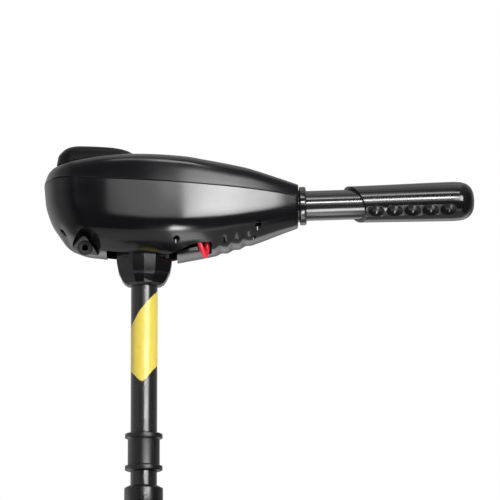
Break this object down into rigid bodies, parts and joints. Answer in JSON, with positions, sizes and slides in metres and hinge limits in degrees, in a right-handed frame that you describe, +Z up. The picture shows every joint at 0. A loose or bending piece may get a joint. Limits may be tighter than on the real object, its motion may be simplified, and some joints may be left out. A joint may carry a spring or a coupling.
{
  "type": "transom-mount trolling motor",
  "caption": "Electric outboard with a twist-grip tiller head, a composite shaft, a submerged motor pod with a bladed propeller, and a screw clamp that tilts, steers and sets depth",
  "frame": {"origin": "middle of the transom seat, the underside of the clamp bracket's bridge", "axes": "+X inboard, the way the tiller points; +Z up along the shaft; +Y to port of the transom when facing aft"},
  "size_m": [0.5002, 0.12, 1.1247],
  "materials": {
    "gloss_black": "glossy moulded black plastic",
    "satin_black": "satin glass-filled nylon",
    "button_black": "satin button cap",
    "grip_black": "semi-gloss moulded grip",
    "composite": "pultruded composite, semi-gloss",
    "motor_paint": "black powder coat on cast aluminium",
    "steel": "bright stainless steel",
    "brass": "commutator bars",
    "copper": "laminated iron core with copper windings",
    "ferrite": "sintered ferrite",
    "nylon": "natural nylon",
    "rubber": "black rubber",
    "lens": "smoked red acrylic",
    "red_lead": "red insulation",
    "black_lead": "black insulation"
  },
  "bodies": {
    "clamp": {"clamp_bracket": "satin_black", "tilt_bolt": "steel"},
    "tilt_knob_body": {"tilt_knob": "satin_black"},
    "pad_left": {"clamp_pad_left": "rubber"},
    "screw_left": {"clamp_screw_left": "steel", "clamp_handle_left": "satin_black"},
    "pad_right": {"clamp_pad_right": "rubber"},
    "screw_right": {"clamp_screw_right": "steel", "clamp_handle_right": "satin_black"},
    "yoke": {"tilt_yoke": "satin_black", "upper_bushing": "nylon", "lower_bushing": "nylon"},
    "brake": {"brake_shoe": "rubber"},
    "tension": {"tension_knob": "satin_black"},
    "swivel": {"swivel_sleeve": "satin_black", "sleeve_ring": "satin_black"},
    "shaft": {"shaft_tube": "composite", "hub_front_half": "gloss_black", "hub_rear_half": "gloss_black", "head_tilt_pin": "satin_black", "hub_screw_left": "satin_black", "hub_screw_right": "satin_black", "pod_housing": "motor_paint", "nose_cone": "motor_paint", "rear_end_bell": "motor_paint", "skeg": "motor_paint", "magnet_upper": "ferrite", "magnet_lower": "ferrite", "brush_plate": "nylon", "front_bearing": "steel", "rear_bearing": "steel", "shaft_seal": "rubber", "through_bolt_left": "steel", "through_bolt_right": "steel"},
    "collar": {"depth_collar": "satin_black"},
    "collar_screw_body": {"collar_screw": "satin_black"},
    "rotor": {"motor_shaft": "steel", "armature": "copper", "commutator": "brass", "propeller": "gloss_black", "drive_pin": "steel", "prop_nut": "satin_black"},
    "head": {"head_lower_housing": "gloss_black", "head_top_cover": "gloss_black", "gauge_pod": "satin_black", "gauge_lens": "lens", "handle_collar": "satin_black", "speed_switch": "nylon", "lead_gland": "rubber", "head_screw_rear_left": "steel", "head_screw_rear_right": "steel", "head_screw_front_left": "steel", "head_screw_front_right": "steel", "head_screw_middle": "steel", "wire_loop_red": "red_lead", "wire_loop_black": "black_lead"},
    "button": {"test_button": "button_black"},
    "twist": {"drive_rod": "steel"},
    "tiller": {"tiller_tube": "satin_black", "tiller_grip": "grip_black"}
  },
  "joints": [
    {"name": "tilt_knob_turn", "type": "hinge", "parent": "clamp", "child": "tilt_knob_body", "pos_m": [-0.06, 0.04, 0], "axis": [0, 1, 0], "range_deg": [0, 360]},
    {"name": "clamp_pad_left_travel", "type": "slide", "parent": "clamp", "child": "pad_left", "axis": [-1, 0, 0], "range_m": [-0.005, 0.028]},
    {"name": "clamp_screw_left_turn", "type": "hinge", "parent": "pad_left", "child": "screw_left", "pos_m": [0.014, 0.03, -0.048], "axis": [-1, 0, 0], "range_deg": [-452, 2522]},
    {"name": "clamp_pad_right_travel", "type": "slide", "parent": "clamp", "child": "pad_right", "axis": [-1, 0, 0], "range_m": [-0.005, 0.028]},
    {"name": "clamp_screw_right_turn", "type": "hinge", "parent": "pad_right", "child": "screw_right", "pos_m": [0.014, -0.03, -0.048], "axis": [-1, 0, 0], "range_deg": [-452, 2522]},
    {"name": "motor_tilt", "type": "hinge", "parent": "clamp", "child": "yoke", "pos_m": [-0.06, 0, 0], "axis": [0, 1, 0], "range_deg": [0, 75]},
    {"name": "brake_shoe_travel", "type": "slide", "parent": "yoke", "child": "brake", "axis": [-1, 0, 0], "range_m": [0, 0.00126]},
    {"name": "tension_knob_turn", "type": "hinge", "parent": "brake", "child": "tension", "pos_m": [-0.1, 0, -0.03], "axis": [-1, 0, 0], "range_deg": [0, 360]},
    {"name": "steering", "type": "hinge", "parent": "yoke", "child": "swivel", "pos_m": [-0.1, 0, 0], "axis": [0, 0, 1], "continuous": true},
    {"name": "depth", "type": "slide", "parent": "swivel", "child": "shaft", "axis": [0, 0, 1], "range_m": [-0.012, 0.25]},
    {"name": "collar_travel", "type": "slide", "parent": "shaft", "child": "collar", "axis": [0, 0, 1], "range_m": [0, 0.06]},
    {"name": "collar_screw_turn", "type": "hinge", "parent": "collar", "child": "collar_screw_body", "pos_m": [-0.1, 0, 0.0824], "axis": [0, 1, 0], "range_deg": [0, 360]},
    {"name": "propeller_spin", "type": "hinge", "parent": "shaft", "child": "rotor", "pos_m": [-0.1, 0, -0.5771], "axis": [1, 0, 0], "continuous": true},
    {"name": "head_tilt", "type": "hinge", "parent": "shaft", "child": "head", "pos_m": [-0.1, 0, 0.317], "axis": [0, 1, 0], "range_deg": [-15, 8]},
    {"name": "test_button_press", "type": "slide", "parent": "head", "child": "button", "axis": [0, 0, -1], "range_m": [0, 0.0015], "stiffness_N_per_m": 400, "springref_m": -0.001},
    {"name": "speed_twist", "type": "hinge", "parent": "head", "child": "twist", "pos_m": [-0.1, 0, 0.33993], "axis": [0.9995, 0, 0.0314], "range_deg": [-60, 100]},
    {"name": "tiller_extend", "type": "slide", "parent": "twist", "child": "tiller", "axis": [0.9995, 0, 0.0314], "range_m": [-0.04, 0.09]}
  ],
  "couplings": [
    {"joint": "clamp_screw_left_turn", "follows": "clamp_pad_left_travel", "rad_per_m": 1570.8},
    {"joint": "clamp_screw_right_turn", "follows": "clamp_pad_right_travel", "rad_per_m": 1570.8},
    {"joint": "brake_shoe_travel", "follows": "tension_knob_turn", "m_per_rad": 0.00019894}
  ]
}
